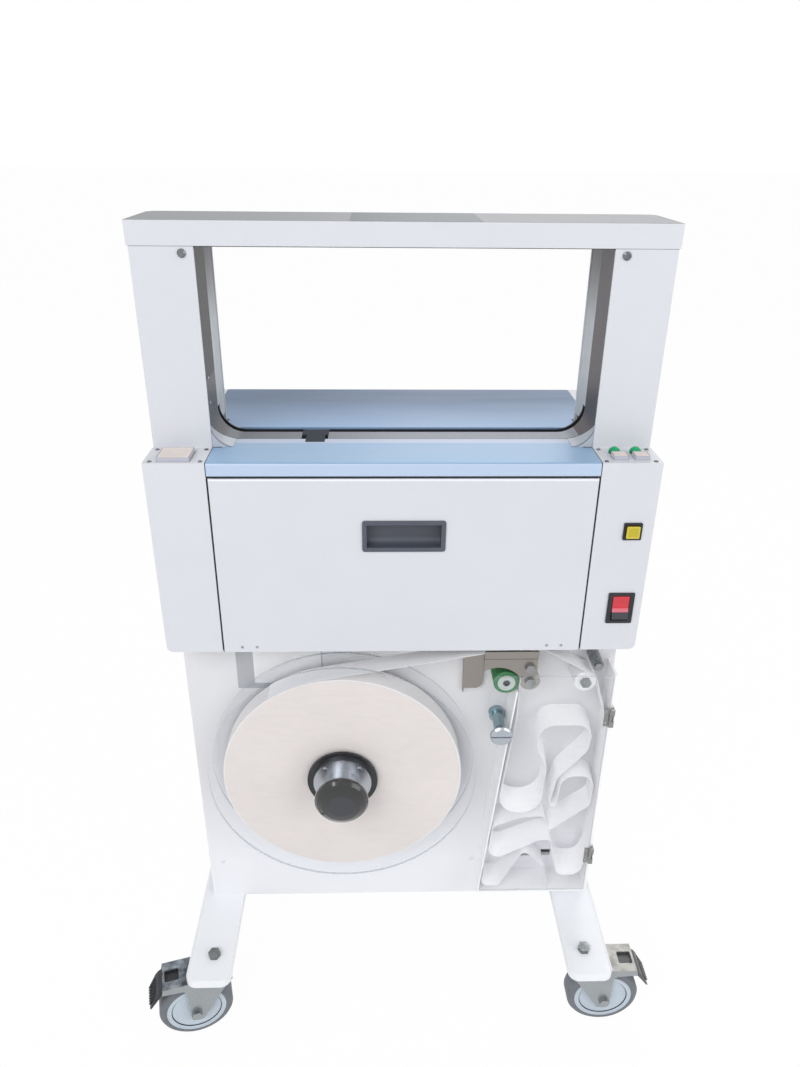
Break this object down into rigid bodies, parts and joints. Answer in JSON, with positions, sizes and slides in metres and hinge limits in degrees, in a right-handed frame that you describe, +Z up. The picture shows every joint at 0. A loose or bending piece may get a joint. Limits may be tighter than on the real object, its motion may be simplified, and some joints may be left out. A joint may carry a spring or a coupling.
{
  "type": "banknote strapping machine",
  "caption": "Floor-standing arch strapping machine: table with tape arch, drop panel, paper reel, clear tape box and braked casters.",
  "frame": {"origin": "on the floor, midway between the four caster swivels", "axes": "+Z up, the operator's side faces -Y, +X to the operator's right"},
  "size_m": [0.6967, 0.4331, 1.0685],
  "materials": {
    "white_paint": "satin powder coat",
    "plate_paint": "satin powder coat",
    "zinc": "zinc plated",
    "film_steel": "sheet under a clear blue film",
    "stainless": "brushed",
    "black_plastic": "matte",
    "grey_plastic": "matte",
    "dark_plastic": "matte",
    "green_lens": "gloss",
    "motor_grey": "satin",
    "board_green": "solder mask",
    "paper": "paper tape",
    "paper_roll": "wound paper",
    "cap_plastic": "satin",
    "yellow_plastic": "gloss",
    "red_plastic": "gloss",
    "clear_acrylic": "clear acrylic",
    "black_metal": "satin",
    "knob_plastic": "moulded, matte",
    "green_rubber": "polyurethane",
    "white_plastic": "matte",
    "chrome": "polished",
    "gear_steel": "machined",
    "tyre_grey": "soft grey tread",
    "pedal_plastic": "moulded, ribbed"
  },
  "bodies": {
    "frame": {"feet": "white_paint", "caster_bolts": "zinc", "main_plate": "plate_paint", "pedestal_cover": "white_paint", "hinge_brackets": "zinc", "rear_housing": "white_paint", "column_left": "white_paint", "column_right": "white_paint", "beam_cover": "white_paint", "pod_left": "white_paint", "pod_right": "white_paint", "front_table": "film_steel", "rear_table": "film_steel", "guide_band": "stainless", "tape_track": "black_plastic", "track_flaps": "grey_plastic", "sealing_head": "black_plastic", "cover_screws": "zinc", "signal_lamps": "green_lens", "switch_frames": "dark_plastic", "mains_inlet": "dark_plastic", "gear_motors": "motor_grey", "control_board": "board_green", "reel_spindle": "stainless", "roller_bracket": "stainless", "roller_axles": "stainless", "tape_box": "plate_paint", "door_hinges": "zinc", "door_post": "stainless", "tape_loops": "paper"},
    "panel": {"drop_panel": "white_paint", "panel_leaves": "zinc", "panel_handle": "dark_plastic"},
    "start_key": {"start_button": "cap_plastic"},
    "inner_key": {"left_key": "cap_plastic"},
    "outer_key": {"right_key": "cap_plastic"},
    "push_button": {"yellow_button": "yellow_plastic"},
    "rocker": {"power_rocker": "red_plastic"},
    "reel": {"reel_discs": "clear_acrylic", "tape_roll": "paper_roll", "reel_hub": "black_metal"},
    "knob": {"reel_knob": "knob_plastic"},
    "feed": {"feed_roller": "green_rubber"},
    "pinch": {"pinch_roller": "stainless"},
    "guide": {"guide_roller": "white_plastic"},
    "door": {"box_door": "clear_acrylic", "door_leaves": "zinc"},
    "door_screw": {"thumb_screw": "chrome"},
    "cam": {"cam_gear": "gear_steel"},
    "pinion": {"motor_pinion": "gear_steel"},
    "front_left_swivel": {"front_left_fork": "zinc"},
    "front_left_roll": {"front_left_wheel": "tyre_grey"},
    "front_left_brake": {"front_left_pedal": "pedal_plastic"},
    "front_right_swivel": {"front_right_fork": "zinc"},
    "front_right_roll": {"front_right_wheel": "tyre_grey"},
    "front_right_brake": {"front_right_pedal": "pedal_plastic"},
    "rear_left_swivel": {"rear_left_fork": "zinc"},
    "rear_left_roll": {"rear_left_wheel": "tyre_grey"},
    "rear_right_swivel": {"rear_right_fork": "zinc"},
    "rear_right_roll": {"rear_right_wheel": "tyre_grey"}
  },
  "joints": [
    {"name": "panel_drop", "type": "hinge", "parent": "frame", "child": "panel", "pos_m": [0, -0.1163, 0.5923], "axis": [1, 0, 0], "range_deg": [0, 90]},
    {"name": "start_press", "type": "slide", "parent": "frame", "child": "start_key", "axis": [0, 0, -1], "range_m": [0, 0.0025], "stiffness_N_per_m": 400, "springref_m": -0.001},
    {"name": "inner_key_press", "type": "slide", "parent": "frame", "child": "inner_key", "axis": [0, 0, -1], "range_m": [0, 0.0025], "stiffness_N_per_m": 400, "springref_m": -0.001},
    {"name": "outer_key_press", "type": "slide", "parent": "frame", "child": "outer_key", "axis": [0, 0, -1], "range_m": [0, 0.0025], "stiffness_N_per_m": 400, "springref_m": -0.001},
    {"name": "push_button_press", "type": "slide", "parent": "frame", "child": "push_button", "axis": [0, 1, 0], "range_m": [0, 0.0025], "stiffness_N_per_m": 400, "springref_m": -0.001},
    {"name": "rocker_tilt", "type": "hinge", "parent": "frame", "child": "rocker", "pos_m": [0.255, -0.1131, 0.6484], "axis": [1, 0, 0], "range_deg": [0, 16]},
    {"name": "reel_spin", "type": "hinge", "parent": "frame", "child": "reel", "pos_m": [-0.076, -0.1, 0.389], "axis": [0, 1, 0], "continuous": true},
    {"name": "knob_spin", "type": "hinge", "parent": "reel", "child": "knob", "pos_m": [-0.076, -0.155, 0.389], "axis": [0, 1, 0], "continuous": true},
    {"name": "feed_spin", "type": "hinge", "parent": "frame", "child": "feed", "pos_m": [0.13, -0.095, 0.535], "axis": [0, 1, 0], "continuous": true},
    {"name": "pinch_spin", "type": "hinge", "parent": "frame", "child": "pinch", "pos_m": [0.1598, -0.095, 0.535], "axis": [0, 1, 0], "continuous": true},
    {"name": "guide_spin", "type": "hinge", "parent": "frame", "child": "guide", "pos_m": [0.229, -0.095, 0.535], "axis": [0, 1, 0], "continuous": true},
    {"name": "door_swing", "type": "hinge", "parent": "frame", "child": "door", "pos_m": [0.264, -0.1202, 0.363], "axis": [0, 0, 1], "range_deg": [0, 110]},
    {"name": "door_screw_turn", "type": "hinge", "parent": "door", "child": "door_screw", "pos_m": [0.126, -0.12, 0.464], "axis": [0, 1, 0], "continuous": true},
    {"name": "cam_spin", "type": "hinge", "parent": "frame", "child": "cam", "pos_m": [-0.101, -0.091, 0.7], "axis": [0, 1, 0], "continuous": true},
    {"name": "pinion_spin", "type": "hinge", "parent": "frame", "child": "pinion", "pos_m": [-0.053, -0.091, 0.7], "axis": [0, 1, 0], "continuous": true},
    {"name": "front_left_swivel_turn", "type": "hinge", "parent": "frame", "child": "front_left_swivel", "pos_m": [-0.255, -0.177, 0.11], "axis": [0, 0, 1], "continuous": true},
    {"name": "front_left_wheel_spin", "type": "hinge", "parent": "front_left_swivel", "child": "front_left_roll", "pos_m": [-0.28639, -0.18541, 0.05], "axis": [0.2588, -0.9659, 0], "continuous": true},
    {"name": "front_left_brake_tilt", "type": "hinge", "parent": "front_left_swivel", "child": "front_left_brake", "pos_m": [-0.30716, -0.19098, 0.1035], "axis": [0.2588, -0.9659, 0], "range_deg": [-6, 0]},
    {"name": "front_right_swivel_turn", "type": "hinge", "parent": "frame", "child": "front_right_swivel", "pos_m": [0.255, -0.177, 0.11], "axis": [0, 0, 1], "continuous": true},
    {"name": "front_right_wheel_spin", "type": "hinge", "parent": "front_right_swivel", "child": "front_right_roll", "pos_m": [0.2875, -0.177, 0.05], "axis": [0, 1, 0], "continuous": true},
    {"name": "front_right_brake_tilt", "type": "hinge", "parent": "front_right_swivel", "child": "front_right_brake", "pos_m": [0.309, -0.177, 0.1035], "axis": [0, 1, 0], "range_deg": [-6, 0]},
    {"name": "rear_left_swivel_turn", "type": "hinge", "parent": "frame", "child": "rear_left_swivel", "pos_m": [-0.255, 0.177, 0.11], "axis": [0, 0, 1], "continuous": true},
    {"name": "rear_left_wheel_spin", "type": "hinge", "parent": "rear_left_swivel", "child": "rear_left_roll", "pos_m": [-0.2875, 0.177, 0.05], "axis": [0, -1, 0], "continuous": true},
    {"name": "rear_right_swivel_turn", "type": "hinge", "parent": "frame", "child": "rear_right_swivel", "pos_m": [0.255, 0.177, 0.11], "axis": [0, 0, 1], "continuous": true},
    {"name": "rear_right_wheel_spin", "type": "hinge", "parent": "rear_right_swivel", "child": "rear_right_roll", "pos_m": [0.28639, 0.18541, 0.05], "axis": [-0.2588, 0.9659, 0], "continuous": true}
  ],
  "couplings": [
    {"joint": "pinch_spin", "follows": "feed_spin", "ratio": -1.25},
    {"joint": "pinion_spin", "follows": "cam_spin", "ratio": -3}
  ]
}
